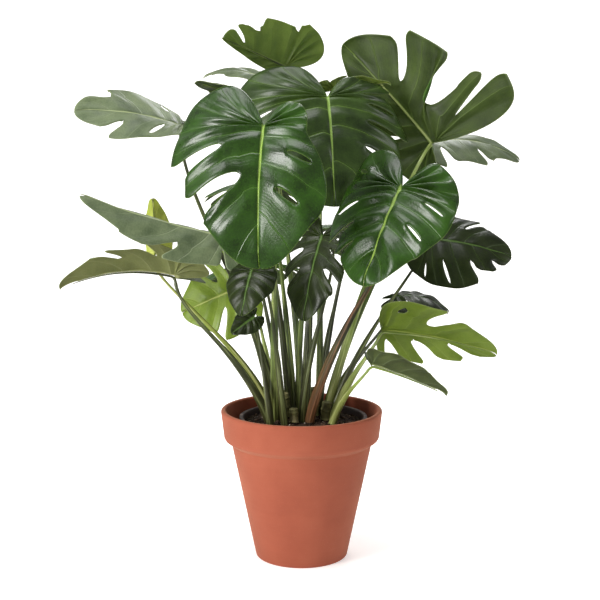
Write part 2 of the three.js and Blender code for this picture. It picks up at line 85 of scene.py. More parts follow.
def linear(hexColour):
    # an sRGB hex value as linear light
    channels = np.array([int(hexColour[i:i + 2], 16) for i in (1, 3, 5)]) / 255
    channels = np.where(channels <= 0.04045, channels / 12.92, ((channels + 0.055) / 1.055) ** 2.4)
    return (*channels.tolist(), 1.0)


def newMaterial(name):
    # a material, its empty node tree, and the link that gives a texture its place on the piece
    material = bpy.data.materials.new(name)
    material.use_nodes = True
    material.node_tree.nodes.clear()
    place = addNode(material.node_tree, "TexCoord")
    return material, material.node_tree, {"Vector": (place, "Object")}


def addNode(tree, kind, settings=None, links=None, stops=None):
    # a node, its properties or sockets set by name or number, and its ramp filled. links joins its inputs
    # to the first output of a node, or to the output that (node, output) says
    node = tree.nodes.new("ShaderNode" + kind)
    for key, value in (settings or {}).items():
        if isinstance(key, str) and hasattr(node, key):
            setattr(node, key, value)
        else:
            node.inputs[key].default_value = value
    for key, source in (links or {}).items():
        origin, output = source if isinstance(source, tuple) else (source, 0)
        tree.links.new(origin.outputs[output], node.inputs[key])
    if stops:
        ramp = node.color_ramp
        while len(ramp.elements) < len(stops):
            ramp.elements.new(0.5)
        for element, (position, colour) in zip(ramp.elements, stops):
            element.position = position
            element.color = linear(colour)
    return node


def spans(fromLow, fromHigh, toLow=0, toHigh=1, **more):
    # settings of a MapRange node
    return {"From Min": fromLow, "From Max": fromHigh, "To Min": toLow, "To Max": toHigh, **more}


def noise(scale, detail, rough=0.5, **more):
    # settings of a TexNoise node, with scale in waves per metre or, on a leaf's own mm, per mm
    return {"Scale": scale, "Detail": detail, "Roughness": rough, **more}


# node settings that are used often
eased = {"interpolation_type": "SMOOTHSTEP"}
inColour = {"data_type": "RGBA"}
scaledSum = {"operation": "MULTIPLY_ADD"}


def addSurface(tree, settings, colour, height, strength, depth, rough=None):
    # the last nodes of a material: bumps up to depth mm high, the surface, and the output
    relief = addNode(tree, "Bump", {"Strength": strength, "Distance": depth * mm}, {"Height": height})
    links = {"Base Color": colour, "Normal": relief}
    if rough:
        links["Roughness"] = rough
    body = addNode(tree, "BsdfPrincipled", settings, links)
    addNode(tree, "OutputMaterial", links={"Surface": body})


def smooth(x):
    # 0 below 0, 1 above 1, and a smooth step between
    x = np.clip(x, 0, 1)
    return x * x * (3 - 2 * x)


def gridFaces(rows, columns, closed=False, start=0):
    # the quads of a grid of points, row after row; closed joins the last column to the first
    i, j = np.meshgrid(np.arange(rows - 1), np.arange(columns if closed else columns - 1), indexing="ij")
    k = (j + 1) % columns
    quads = np.stack([i * columns + j, i * columns + k, (i + 1) * columns + k, (i + 1) * columns + j], -1)
    return quads.reshape(-1, 4) + start


def newPiece(name, points, faces, materials, slot, replaced=(), weld=0.0, values=None):
    # a mesh object in place, from points in mm, with its materials, its ride and what it stands for
    mesh = bpy.data.meshes.new(name)
    mesh.from_pydata((np.asarray(points) * mm).tolist(), [], [list(f) for f in faces])
    for label, numbers in (values or {}).items():
        layer = mesh.attributes.new(label, "FLOAT_VECTOR", "POINT")
        layer.data.foreach_set("vector", np.ravel(numbers).astype(np.float32))
    if weld:
        soft = bmesh.new()
        soft.from_mesh(mesh)
        bmesh.ops.remove_doubles(soft, verts=soft.verts, dist=weld * mm)
        bmesh.ops.dissolve_degenerate(soft, edges=soft.edges, dist=weld * mm * 0.5)
        soft.to_mesh(mesh)
        soft.free()
    mesh.polygons.foreach_set("use_smooth", np.ones(len(mesh.polygons), bool))
    for material in materials:
        mesh.materials.append(material)
    piece = bpy.data.objects.new(name, mesh)
    bpy.context.scene.collection.objects.link(piece)
    if slot:
        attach(piece, "root")
        if replaced:
            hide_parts(*replaced)
    return piece


floorSetting = dict(front=-3200, back=1500, bend=900, rise=2600, half=3600, colour="#f6f5f4", glow=0.32)


def floorSurface(setting):
    # a strip across x whose profile runs level, then turns up through a quarter circle behind
    turn = np.linspace(0, np.pi / 2, 24)
    level = np.linspace(setting["front"], setting["back"], 12)
    end = setting["back"] + setting["bend"]
    y = np.concatenate([level, setting["back"] + setting["bend"] * np.sin(turn[1:]), [end]])
    z = np.concatenate([level * 0, setting["bend"] * (1 - np.cos(turn[1:])), [setting["rise"]]])
    x = np.array([-setting["half"], setting["half"]])
    points = np.stack(np.broadcast_arrays(x, y[:, None], z[:, None]), -1)
    return points.reshape(-1, 3), gridFaces(len(y), 2)


# matt painted board: pale, with no gloss
board, tree, _ = newMaterial("paintedBoard")
coat = addNode(tree, "BsdfPrincipled",
               {"Base Color": linear(floorSetting["colour"]), "Roughness": 0.9,
                "Emission Color": (1, 1, 1, 1), "Emission Strength": floorSetting["glow"]})
addNode(tree, "OutputMaterial", links={"Surface": coat})
floor = newPiece("floor", *floorSurface(floorSetting), [board], None)
floor.visible_glossy = False
print("camera, lights and floor")


# ---- clay pot

clayPot = dict(
    height=276, foot=85.5, shoulder=130, shoulderHeight=213, collarLow=143.5, collarLowHeight=223,
    collar=150, lip=10, floor=13, holeRadius=7, holeCircle=42, holes=3, holeTurn=30,
    wobble=0.25, flatBelow=4, turningMarks=0.10, markSpacing=5.5, marksBeyond=60, marksAbove=20, segments=192)


def distances(line):
    # how far along a line of points each one lies
    return np.concatenate([[0], np.cumsum(np.linalg.norm(np.diff(line, axis=0), axis=1))])


def roundedProfile(corners, fine=4.0, shortest=0.05):
    # corners are (r, z, radius): each is replaced by a quadratic curve that starts and ends radius away,
    # and the whole line gets points at most fine and at least shortest apart
    out = []
    last = len(corners) - 1
    for i, (r, z, radius) in enumerate(corners):
        here = np.array([r, z], float)
        if i in (0, last) or radius == 0:
            out.append(here[None])
            continue
        before, after = [np.array(corners[k][:2], float) - here for k in (i - 1, i + 1)]
        a, b = [here + side / np.linalg.norm(side) * min(radius, np.linalg.norm(side) / 2)
                for side in (before, after)]
        t = np.linspace(0, 1, 7)[:, None]
        out.append((1 - t) ** 2 * a + 2 * t * (1 - t) * here + t * t * b)
    line = np.concatenate(out)
    length = distances(line)
    extra = np.arange(0, length[-1], fine)
    s = np.unique(np.concatenate([length, extra]).round(4))
    s = s[np.concatenate([[True], np.diff(s) > shortest])]
    return np.stack([np.interp(s, length, line[:, 0]), np.interp(s, length, line[:, 1])], -1)


def turnedSurface(profile, segments, centre=(0, 0), change=None):
    # a profile (r, z) carried round the z axis; change(r, z, angle) moves the radius a little
    angle = np.arange(segments) * 2 * np.pi / segments
    r, z = [np.repeat(profile[:, k][:, None], segments, 1) for k in (0, 1)]
    if change:
        r = np.maximum(r + change(r, z, angle[None]) * (r > 1), 0)
    points = np.stack([centre[0] + r * np.cos(angle), centre[1] + r * np.sin(angle), z], -1)
    return points.reshape(-1, 3), gridFaces(len(profile), segments, closed=True)


def drillHoles(piece, setting, low, high, centre, turn, sides=24):
    # round holes through the bottom, cut with one boolean that is then applied
    angle = np.linspace(0, 2 * np.pi, sides + 1)[:-1]
    points, faces = [], []
    for k in range(setting["holes"]):
        around = np.radians(turn) + 2 * np.pi * k / setting["holes"]
        x = centre[0] + setting["holeCircle"] * np.cos(around) + setting["holeRadius"] * np.cos(angle)
        y = centre[1] + setting["holeCircle"] * np.sin(around) + setting["holeRadius"] * np.sin(angle)
        start = 2 * sides * k
        points += [np.stack([x, y, np.full(sides, z)], -1) for z in (low, high)]
        faces += gridFaces(2, sides, closed=True, start=start).tolist()
        faces.append(list(range(start, start + sides))[::-1])
        faces.append(list(range(start + sides, start + 2 * sides)))
    mesh = bpy.data.meshes.new("drill")
    mesh.from_pydata((np.concatenate(points) * mm).tolist(), [], faces)
    drill = bpy.data.objects.new("drill", mesh)
    bpy.context.scene.collection.objects.link(drill)
    cut = piece.modifiers.new("holes", "BOOLEAN")
    cut.operation = "DIFFERENCE"
    cut.solver = "EXACT"
    cut.object = drill
    shown = piece.evaluated_get(bpy.context.evaluated_depsgraph_get())
    cutMesh = bpy.data.meshes.new_from_object(shown)
    piece.modifiers.clear()
    piece.data = cutMesh
    bpy.data.objects.remove(drill)


def clayChange(r, z, angle):
    # the wheel leaves a slight out of round and shallow rings
    wobble = np.sin(2 * angle + 0.6) + 0.5 * np.sin(3 * angle + z / 90)
    wobble = wobble * (z > clayPot["flatBelow"]) * (z < clayPot["height"] - 1)
    rings = np.sin(z * 2 * np.pi / clayPot["markSpacing"] + 0.8 * np.sin(angle))
    rings = rings * (r > clayPot["marksBeyond"]) * (z > clayPot["marksAbove"])
    return clayPot["wobble"] * wobble + clayPot["turningMarks"] * rings


# terracotta, thrown and fired without glaze: matt, fine grained, with faint rings, darker and lighter clouds
# from the kiln, a few pale specks of lime, and a sheen of dust that lightens it at grazing angles
terracotta, tree, onPiece = newMaterial("firedTerracotta")
clouds = addNode(tree, "TexNoise", noise(9.0, 4.0, 0.6), onPiece)
stretch = addNode(tree, "Mapping", {"Scale": (6, 6, 160)}, onPiece)
rings = addNode(tree, "TexNoise", noise(1.0, 3.0), {"Vector": stretch})
grain = addNode(tree, "TexNoise", noise(900.0, 3.0, 0.7), onPiece)
specks = addNode(tree, "TexVoronoi", {"Scale": 260.0}, onPiece)
cloudColour = addNode(tree, "ValToRGB", links={"Fac": clouds},
                      stops=[(0.30, "#8e452f"), (0.52, "#964c35"), (0.75, "#9e543d")])
ringTone = addNode(tree, "Mix", {**inColour, "blend_type": "MULTIPLY", 0: 0.07}, {6: cloudColour, 7: rings})
speckMask = addNode(tree, "MapRange", spans(0.10, 0.02), {"Value": (specks, "Distance")})
speckFew = addNode(tree, "Math", {"operation": "MULTIPLY", 1: 0.35}, {0: speckMask})
clayColour = addNode(tree, "Mix", {**inColour, 7: linear("#d9a58c")}, {0: speckFew, 6: (ringTone, 2)})
clayRough = addNode(tree, "MapRange", spans(0, 1, 0.74, 0.92), {"Value": clouds})
height = addNode(tree, "Math", {**scaledSum, 1: 0.5}, {0: rings, 2: grain})
dust = {"Specular IOR Level": 0.35, "Sheen Weight": 0.25, "Sheen Roughness": 0.45,
        "Sheen Tint": linear("#e8b890")}
addSurface(tree, dust, (clayColour, 2), height, strength=0.35, depth=0.6, rough=clayRough)

p = clayPot
clayCorners = [
    (0, 0, 0), (p["foot"], 0, 2.0), (p["shoulder"], p["shoulderHeight"], 1.5),
    (p["collarLow"], p["collarLowHeight"], 3.5), (p["collar"] - 0.4, p["height"], 4.5),
    (p["collar"] - p["lip"], p["height"], 3.5), (p["collarLow"] - 8, p["collarLowHeight"] + 3, 5),
    (p["shoulder"] - 9, p["shoulderHeight"] - 1, 6), (p["foot"] - 11.5, p["floor"], 6), (0, p["floor"], 0)]
pot = newPiece("clayPot", *turnedSurface(roundedProfile(clayCorners), p["segments"], change=clayChange),
               [terracotta], "clay", ["clay_pot"], weld=0.01)
drillHoles(pot, p, -5, p["floor"] + 5, (0, 0), p["holeTurn"])
print("clay pot")


# ---- nursery pot

nurseryPot = dict(
    centre=(3, 2), foot=68, top=112.5, bottom=13.5, rim=262, wall=1.5, holeRadius=5, holeCircle=50, holes=6,
    segments=144)

# polypropylene, injection moulded: dark and satin, with its thin rolled edge paler in patches, partly scuffs
# and partly a painted highlight along the edge
plastic, tree, onPiece = newMaterial("mouldedPolypropylene")
split = addNode(tree, "SeparateXYZ", links=onPiece)
patchNoise = addNode(tree, "TexNoise", noise(60.0, 5.0), onPiece)
nearRim = addNode(tree, "MapRange", spans(0.2612, 0.2620), {"Value": (split, "Z")})
# the rim's pale patches: partly scuffs, partly a painted highlight on the rolled edge
scuffAndHighlightNoise = addNode(tree, "Math", {**scaledSum, 1: 3.0, 2: -1.3, "use_clamp": True}, {0: patchNoise})
rimScuffAndHighlight = addNode(tree, "Math", {"operation": "MULTIPLY"}, {0: nearRim, 1: scuffAndHighlightNoise})
plasticColour = addNode(tree, "Mix", {**inColour, 6: linear("#33231f"), 7: linear("#8f7c74")}, {0: rimScuffAndHighlight})
addSurface(tree, {"Roughness": 0.42}, (plasticColour, 2), patchNoise, strength=0.12, depth=0.4)

p = nurseryPot
nurseryCorners = [
    (0, p["bottom"], 0), (p["foot"], p["bottom"], 1.5), (p["top"], p["rim"] - 6, 1.5),
    (p["top"] + 6.5, p["rim"] - 5, 2), (p["top"] + 6.5, p["rim"], 1.6), (p["top"] - 0.5, p["rim"], 2.5),
    (p["top"] - p["wall"], p["rim"] - 6, 1.5), (p["foot"] - p["wall"], p["bottom"] + p["wall"], 1),
    (0, p["bottom"] + p["wall"], 0)]
nursery = newPiece("nurseryPot", *turnedSurface(roundedProfile(nurseryCorners), p["segments"], p["centre"]),
                   [plastic], "nursery_plastic", ["nursery_pot"], weld=0.01)
drillHoles(nursery, p, p["bottom"] - 3, p["bottom"] + 5, p["centre"], 0)
print("nursery pot")


# ---- soil

soilBed = dict(
    centre=(3, 2), level=255.5, edge=109.5, edgeDrop=5, lumpHeight=2.2, foot=67, footHeight=16.5,
    rings=56, sides=168, seed=7)
soilBits = [
    dict(name="peatCrumbs", of="peat", count=420, size=(2.0, 6.5), flat=0.8, sink=0.3, inset=6),
    dict(name="barkChips", of="bark", count=60, size=(5, 13), flat=0.4, sink=0.4, inset=9),
    dict(name="perliteGrains", of="perlite", count=70, size=(1.6, 3.6), flat=0.9, sink=0.3, inset=6)]
rng = np.random.default_rng(soilBed["seed"])


def hills(x, y, size, seed):
    # a sum of sine waves in random directions, about -1 to 1, with waves about size mm long
    source = np.random.default_rng(seed)
    total = 0
    for k in range(14):
        direction = source.uniform(0, 2 * np.pi)
        wave = 2 * np.pi / (size * source.uniform(0.6, 1.7))
        phase = source.uniform(0, 6.28)
        total = total + np.sin(wave * (x * np.cos(direction) + y * np.sin(direction)) + phase)
    return total / 4


def soilHeight(x, y):
    # a low mound, lower at the edge, with lumps on it
    r = np.hypot(x, y) / soilBed["edge"]
    mound = soilBed["level"] - soilBed["edgeDrop"] * smooth((r - 0.45) / 0.55)
    return mound + soilBed["lumpHeight"] * (0.6 * hills(x, y, 26, 1) + 0.4 * hills(x, y, 9, 2)) * (r < 0.995)


def soilSurface(setting):
    # rings of points from the middle out to the edge, then down the side and in under the bed
    edge, foot = setting["edge"], setting["foot"]
    ring = np.concatenate([np.linspace(0, 1, setting["rings"]) ** 0.8 * edge, [edge, foot, 0]])
    angle = np.arange(setting["sides"]) * 2 * np.pi / setting["sides"]
    x = ring[:, None] * np.cos(angle)
    y = ring[:, None] * np.sin(angle)
    z = soilHeight(x, y)
    z[-3] = z[-4] - 2
    z[-2:] = setting["footHeight"]
    points = np.stack([x + setting["centre"][0], y + setting["centre"][1], z], -1)
    return points.reshape(-1, 3), gridFaces(len(ring), len(angle), closed=True)[:, ::-1]


def scattered(shape, faces, bits):
    # copies of one small shape, each turned, scaled and set on the soil at random. flat is their height
    # over their length, sink how far up they sit, and inset how far from the edge of the soil they stay
    count = bits["count"]
    turn, lean, leanTo = rng.uniform(0, 2 * np.pi, (3, count))
    cosine, sine, none = np.cos(turn), np.sin(turn), 0 * turn
    tilt = 0.35 * np.sin(lean)
    rows = [[cosine, -sine, none], [sine, cosine, none],
            [tilt * np.cos(leanTo), tilt * np.sin(leanTo), 1 + none]]
    spin = np.stack([np.stack(row, -1) for row in rows], 1)
    scale = rng.uniform(*bits["size"], count)[:, None, None] * (1 + 0.25 * rng.standard_normal((count, 1, 3)))
    scale = np.abs(scale) * np.array([1, 0.8, bits["flat"]]) * 0.5
    radius = (soilBed["edge"] - bits["inset"]) * np.sqrt(rng.uniform(0, 1, count))
    around = rng.uniform(0, 2 * np.pi, count)
    x, y = radius * np.cos(around), radius * np.sin(around)
    centre = np.stack([x + soilBed["centre"][0], y + soilBed["centre"][1], soilHeight(x, y)], -1)
    rough = 1 + 0.22 * rng.standard_normal((count, len(shape), 1))
    points = np.einsum("nij,nkj->nki", spin, shape[None] * rough * scale)
    points += centre[:, None] + np.array([0, 0, 1]) * (scale[:, :, 2:] * bits["sink"])
    allFaces = faces[None] + np.arange(count)[:, None, None] * len(shape)
    return points.reshape(-1, 3), allFaces.reshape(-1, faces.shape[1])


def pebbleShape():
    # a coarse ball, which scattered makes irregular
    ball = bmesh.new()
    bmesh.ops.create_icosphere(ball, subdivisions=1, radius=1)
    points = np.array([v.co[:] for v in ball.verts])
    faces = np.array([[v.index for v in f.verts] for f in ball.faces])
    ball.free()
    return points, faces


# peat and coir, sieved and damp: nearly black brown and crumbly, with paler bits
peat, tree, onPiece = newMaterial("dampPeatMix")
crumb = addNode(tree, "TexNoise", noise(320.0, 6.0, 0.7), onPiece)
patch = addNode(tree, "TexNoise", noise(45.0, 3.0), onPiece)
mixed = addNode(tree, "Math", {**scaledSum, 1: 0.5}, {0: patch, 2: crumb})
peatColour = addNode(tree, "ValToRGB", links={"Fac": mixed},
                     stops=[(0.45, "#150f0c"), (0.72, "#2b1f18"), (0.95, "#4a3729")])
addSurface(tree, {"Roughness": 0.93, "Specular IOR Level": 0.25}, peatColour, crumb, strength=0.8, depth=1.5)

# pine bark, chipped: red brown, fibrous
barkChip, tree, onPiece = newMaterial("chippedPineBark")
fibre = addNode(tree, "TexNoise", noise(500.0, 5.0, Distortion=1.5), onPiece)
chipColour = addNode(tree, "ValToRGB", links={"Fac": fibre},
                     stops=[(0.35, "#24160f"), (0.55, "#46301f"), (0.75, "#6d4f36")])
addSurface(tree, {"Roughness": 0.85}, chipColour, fibre, strength=0.6, depth=0.8)

# perlite, puffed glass: off white, rough and porous
perlite, tree, onPiece = newMaterial("puffedPerlite")
pores = addNode(tree, "TexVoronoi", {"Scale": 1800.0}, onPiece)
perliteColour = addNode(tree, "ValToRGB", links={"Fac": (pores, "Distance")},
                        stops=[(0.0, "#8f8578"), (0.5, "#c9c1b2")])
addSurface(tree, {"Roughness": 0.8}, perliteColour, (pores, "Distance"), strength=0.5, depth=0.5)

newPiece("soilBed", *soilSurface(soilBed), [peat], "soil", ["soil"], weld=0.01)
pebble = pebbleShape()
soilStuff = dict(peat=peat, bark=barkChip, perlite=perlite)
for bits in soilBits:
    newPiece(bits["name"], *scattered(*pebble, bits), [soilStuff[bits["of"]]], "soil")
print("soil")


# ---- canes

canes = [
    dict(name="cane_1", place=(-30, 12), radius=9, height=44, lean=(-3, 1)),
    dict(name="cane_2", place=(22, 22), radius=10, height=52, lean=(4, 2)),
    dict(name="cane_3", place=(-14, -34), radius=8, height=24, lean=(-1, -2)),
    dict(name="cane_4", place=(44, -12), radius=9, height=32, lean=(3, -1))]
caneLook = dict(foot=258, soilLevel=260, nodeSpacing=17, ringHeight=1.1, scarDepth=0.9, steps=72, sides=40)


def tubeSurface(path, radius, sides, change=None):
    # circles of the given radius set square to a path, closed at both ends. The circles start from the
    # direction that is least along the path, so that they don't twist. laid is each point's place on the
    # tube: round it (x, y) and along it (z), in mm
    tangent = np.gradient(path, axis=0)
    tangent /= np.linalg.norm(tangent, axis=1)[:, None]
    steady = np.linalg.eigh(tangent.T @ tangent)[1][:, 0]
    across = steady - (tangent @ steady)[:, None] * tangent
    across /= np.linalg.norm(across, axis=1)[:, None]
    upward = np.cross(tangent, across)
    angle = np.arange(sides) * 2 * np.pi / sides
    along = distances(path)
    size = radius[:, None] * np.ones(sides)
    if change:
        size = change(size, along[:, None], angle[None], path, across, upward)
    cosine, sine = np.cos(angle)[:, None], np.sin(angle)[:, None]
    points = path[:, None] + size[..., None] * (across[:, None] * cosine + upward[:, None] * sine)
    laid = np.stack([size * cosine.T, size * sine.T, along[:, None] * np.ones(sides)], -1)
    count = len(path) * sides
    points = np.concatenate([points.reshape(-1, 3), path[:1], path[-1:]])
    laid = np.concatenate([laid.reshape(-1, 3), [[0, 0, 0]], [[0, 0, along[-1]]]])
    faces = gridFaces(len(path), sides, closed=True).tolist()
    ring = np.arange(sides)
    after = (ring + 1) % sides
    faces += np.stack([np.full(sides, count), after, ring], -1).tolist()
    top = count - sides
    faces += np.stack([np.full(sides, count + 1), top + ring, top + after], -1).tolist()
    return points, faces, laid


def caneChange(size, along, angle, path, across, upward):
    # raised rings where leaves once joined, slightly tilted, and a sunken scar on one side above each
    tilted = along + 2.2 * np.cos(angle + 1.3)
    ring = np.exp(-(((tilted + 8) % caneLook["nodeSpacing"] - 8) / 1.6) ** 2)
    count = np.floor((tilted + 8) / caneLook["nodeSpacing"])
    scar = np.exp(-(((tilted + 3) % caneLook["nodeSpacing"] - 8) / 3.5) ** 2)
    scar = scar * np.exp(3 * (np.cos(angle - 2.4 * count) - 1))
    return size + (caneLook["ringHeight"] * ring - caneLook["scarDepth"] * scar) * (size > 4)


# corky green bark, grown: green brown with paler patches of cork, dry and slightly rough
caneBark, tree, onPiece = newMaterial("corkyAroidCane")
cork = addNode(tree, "TexNoise", noise(350.0, 5.0, 0.65), onPiece)
patch = addNode(tree, "TexNoise", noise(60.0, 3.0), onPiece)
barkMix = addNode(tree, "Math", {**scaledSum, 1: 0.4}, {0: cork, 2: patch})
barkColour = addNode(tree, "ValToRGB", links={"Fac": barkMix},
                     stops=[(0.50, "#4c4a2a"), (0.72, "#6b6a3c"), (0.92, "#8f8460")])
addSurface(tree, {"Roughness": 0.75}, barkColour, cork, strength=0.6, depth=0.8)

for cane in canes:
    t = np.linspace(0, 1, caneLook["steps"])
    top = caneLook["soilLevel"] + cane["height"]
    x = cane["place"][0] + cane["lean"][0] * t ** 1.5
    y = cane["place"][1] + cane["lean"][1] * t ** 1.5
    path = np.stack([x, y, caneLook["foot"] + (top - caneLook["foot"]) * t], -1)
    radius = cane["radius"] * np.sqrt(np.clip(1 - ((t - 0.93) / 0.0705).clip(0, 1) ** 2, 0.02, 1))
    points, faces, _ = tubeSurface(path, radius, caneLook["sides"], caneChange)
    newPiece(cane["name"].replace("_", "") + "Bark", points, faces, [caneBark], "cane", [cane["name"]])
print("canes")


# ---- leaves

# seat is where the stalk meets the blade. turn is its heading, dip and roll, and length, wide and lobe
# give its outline. bend and back curl it from the seat to the tip and to the lobes, fold and arch lift and
# bow its left and right halves, and quilt is how far the blade swells between side veins. A value that
# differs between the halves is [left, right]. A cut is [angle from the tip, where it starts, half width,
# where it closes if it is a hole, lean of its inner end]. look names the upper face, the lower face and
# the stalk, and root is where the stalk leaves the soil
# the default upper face, shade, is the darker face for leaves that lie in shade: painted shade
leafDefault = dict(
    look="shade underDeep dark", lobe=0, gap=20, pinch=0, back=10, fold=5, arch=30, twist=0, quilt=3,
    left=[], right=[])
hiddenLeaf = dict(wide=1, lobe=0.08, gap=25, bend=50, fold=8, arch=35, quilt=6)
deepCuts = [[108, 0.5, 4], [82, 0.42, 6], [60, 0.38, 7], [38, 0.45, 5]]
fineCuts = [[100, 0.55, 2], [74, 0.45, 2.5], [54, 0.42, 3], [34, 0.5, 2]]
fewCuts = [[85, 0.5, 3], [55, 0.45, 4]]
leaves = dict(
    front_broad=dict(look="deep underDeep green", seat=[-60, -250, 780], root=[-50, -16],
        turn=[-100, 58, 0], length=225, wide=1.05, lobe=0.12, gap=[20, 14], pinch=[0.5, 0], bend=45,
        back=-15, fold=[25, 12], arch=40, quilt=6, left=[[52, 0.42, 1.6, 0.8], [30, 0.3, 1.5, 0.7]],
        right=[[63, 0.42, 6], [37, 0.26, 8]]),
    right_broad=dict(look="deep underDeep rust", seat=[157, -235, 685], root=[16, -32],
        turn=[-132, 50, 8], length=172, wide=[1.0, 1.2], lobe=[0, 0.4], gap=[12, 8], bend=20, back=-5,
        arch=[25, 35], quilt=9, left=[[66, 0.5, 0.9, 0.85], [40, 0.5, 0.9, 0.85]],
        right=[[120, 0.5, 2.5, 0.68], [62, 0.5, 2, 0.85], [40, 0.55, 2.5], [24, 0.6, 1.5]]),
    crown_middle=dict(look="dusk underDeep dark", seat=[46, -22, 844], root=[8, 0],
        turn=[-80, 58, 0], length=200, wide=1.38, lobe=[0, 0.22], gap=[14, 5], pinch=[0.2, 0], bend=30,
        back=0, fold=[8, 5], arch=[30, 40], quilt=6,
        left=[[100, 0.5, 3], [74, 0.5, 2.5, 0.93], [52, 0.45, 3], [32, 0.5, 2]],
        right=[[75, 0.55, 2, 0.9], [48, 0.5, 3]]),
    crown_right=dict(look="mid underDeep pale", seat=[240, 40, 765], root=[48, 16],
        turn=[148, -48, -88], length=250, wide=[1.0, 0.5], lobe=[0.32, 0.1], gap=[50, 30], bend=15, back=20,
        fold=[0, -10], arch=[10, 20], quilt=5,
        left=[[90, 0.38, 4, 1, -6], [69, 0.27, 14, 1, -20], [27, 0.33, 4]], right=[[60, 0.5, 3]]),
    crown_left=dict(look="mid underMid green", seat=[-30, 110, 910], root=[-6, 50],
        turn=[-141, -17, -63], length=158, wide=[0.85, 0.2], lobe=[0.14, 0], gap=[20, 30], bend=10,
        fold=[0, -15], arch=20, quilt=5, left=[[76, 0.9, 6], [30, 0.78, 8], [13, 0.25, 2.5]]),
    left_high=dict(look="grey underGrey dark", seat=[-220, 20, 795], root=[-48, 36],
        turn=[-170, -20, 16], length=190, wide=0.68, bend=25, fold=10, twist=48,
        left=[[95, 0.55, 3], [62, 0.4, 3, 0.85], [30, 0.6, 5]],
        right=[[100, 0.5, 3], [66, 0.45, 3, 0.85], [22, 0.75, 8]]),
    back_high=dict(look="grey underGrey green", seat=[-35, 235, 880], root=[0, 64],
        turn=[-174, -36, 30], length=175, wide=0.32, bend=60, fold=10, left=[[85, 0.5, 4]],
        right=[[60, 0.5, 5]]),
    left_crown_small=dict(seat=[-92, 92, 847], root=[-24, 40], turn=[-166, -20, -8], length=112,
        wide=[0.7, 1], bend=10, fold=10, left=fewCuts, right=fewCuts),
    left_middle=dict(look="grey underGrey dark", seat=[-140, -60, 600], root=[-50, 11],
        turn=[-172, -12, 24], length=250, wide=0.4, bend=-10, fold=[-35, -25], arch=[10, 20],
        left=[[95, 0.5, 3], [52, 0.6, 6]], right=[[85, 0.5, 3], [50, 0.5, 5]]),
    left_low=dict(look="grey underOlive dark", seat=[-230, -20, 525], root=[-64, -8],
        turn=[-174, -14, -18], length=205, wide=0.6, bend=40, fold=[35, 30], arch=[10, 20],
        left=[[100, 0.5, 3], [62, 0.5, 4], [36, 0.55, 4]],
        right=[[100, 0.5, 4], [70, 0.42, 5], [46, 0.45, 6]]),
    left_low_back=dict(look="young underYoung pale", seat=[-120, 110, 490], root=[-48, 48],
        turn=[176, 22, 68], length=125, wide=1.15, gap=30, bend=10, arch=10,
        left=[[100, 0.45, 9], [45, 0.35, 6]], right=[[105, 0.5, 6], [72, 0.35, 7], [45, 0.35, 8]]),
    front_small=dict(seat=[-85, -140, 545], root=[-32, -47], turn=[-118, 56, 0], length=80, wide=1,
        bend=20),
    front_lowest=dict(seat=[-85, -60, 455], root=[-58, -50], turn=[-148, 28, 56], length=50, wide=0.8,
        bend=20),
    front_middle=dict(seat=[35, -90, 600], root=[0, -24], turn=[-128, 60, 0], length=150, wide=0.8, bend=20,
        arch=20, left=deepCuts, right=deepCuts),
    right_middle=dict(seat=[235, 10, 590], root=[56, 8], turn=[-20, 2, -48], length=150, wide=0.95, bend=30,
        fold=0, arch=[40, 30], left=[[75, 0.5, 2, 0.9], [40, 0.5, 3]],
        right=[[88, 0.6, 1.5, 0.9], [58, 0.5, 1.6, 0.9], [30, 0.6, 3], [14, 0.7, 2.5]]),
    right_high=dict(look="grey underGrey green", seat=[255, 150, 770], root=[48, 48],
        turn=[-12, -12, -22], length=175, wide=0.8, bend=50, arch=40,
        left=[[100, 0.5, 4], [62, 0.45, 3, 0.9], [30, 0.6, 4]],
        right=[[100, 0.45, 5], [70, 0.4, 6], [34, 0.6, 3]]),
    right_low=dict(look="young underYoung pale", seat=[144, -60, 430], root=[60, -16],
        turn=[-6, 2, 40], length=202, wide=[0.6, 0.85], lobe=[0, 0.1], gap=[70, 75], bend=20, arch=[45, 10],
        left=[[80, 0.4, 9], [48, 0.35, 9], [22, 0.4, 5]],
        right=[[100, 0.45, 2, 0.8], [66, 0.5, 4, 0.7], [36, 0.35, 9]]),
    right_lowest=dict(look="shade underGrey pale", seat=[121, -135, 382], root=[58, -44],
        turn=[-6, 16, 10], length=135, wide=0.75, lobe=[0.12, 0], gap=[60, 60], bend=10, fold=[25, 35],
        arch=10),
    right_back_small=dict(look="shade underGrey dark", seat=[185, 125, 470], root=[48, 32],
        turn=[-10, -14, -10], length=110, wide=1, bend=60, left=[[70, 0.5, 3]], right=[[60, 0.5, 4]]),
    crown_small=dict(look="mid underYoung green", seat=[58, 66, 866], root=[34, 40],
        turn=[-16, -12, 20], length=110, wide=0.6, bend=20, fold=[35, 5], arch=10, left=fewCuts,
        right=fewCuts),
    back_middle=dict(hiddenLeaf, look="deep underDeep green", seat=[-60, 260, 690], root=[-16, 56],
        turn=[100, 4, 0], length=230, left=deepCuts, right=fineCuts),
    back_right=dict(hiddenLeaf, look="mid underDeep dark", seat=[100, 250, 600], root=[32, 56],
        turn=[70, 4, 0], length=220, left=fineCuts, right=deepCuts),
    back_left=dict(hiddenLeaf, look="mid underDeep dark", seat=[-90, 240, 520], root=[-38, 60],
        turn=[112, 4, 0], length=190, quilt=5, left=fewCuts, right=fineCuts),
    left_unfurling=dict(look="bud bud bright", seat=[-280, 100, 560], root=[-58, 44],
        turn=[-90, -80, 8], length=105, wide=0.6, bend=10, fold=35, arch=-30))
leaves = [{**leafDefault, "name": name, **leaf} for name, leaf in leaves.items()]

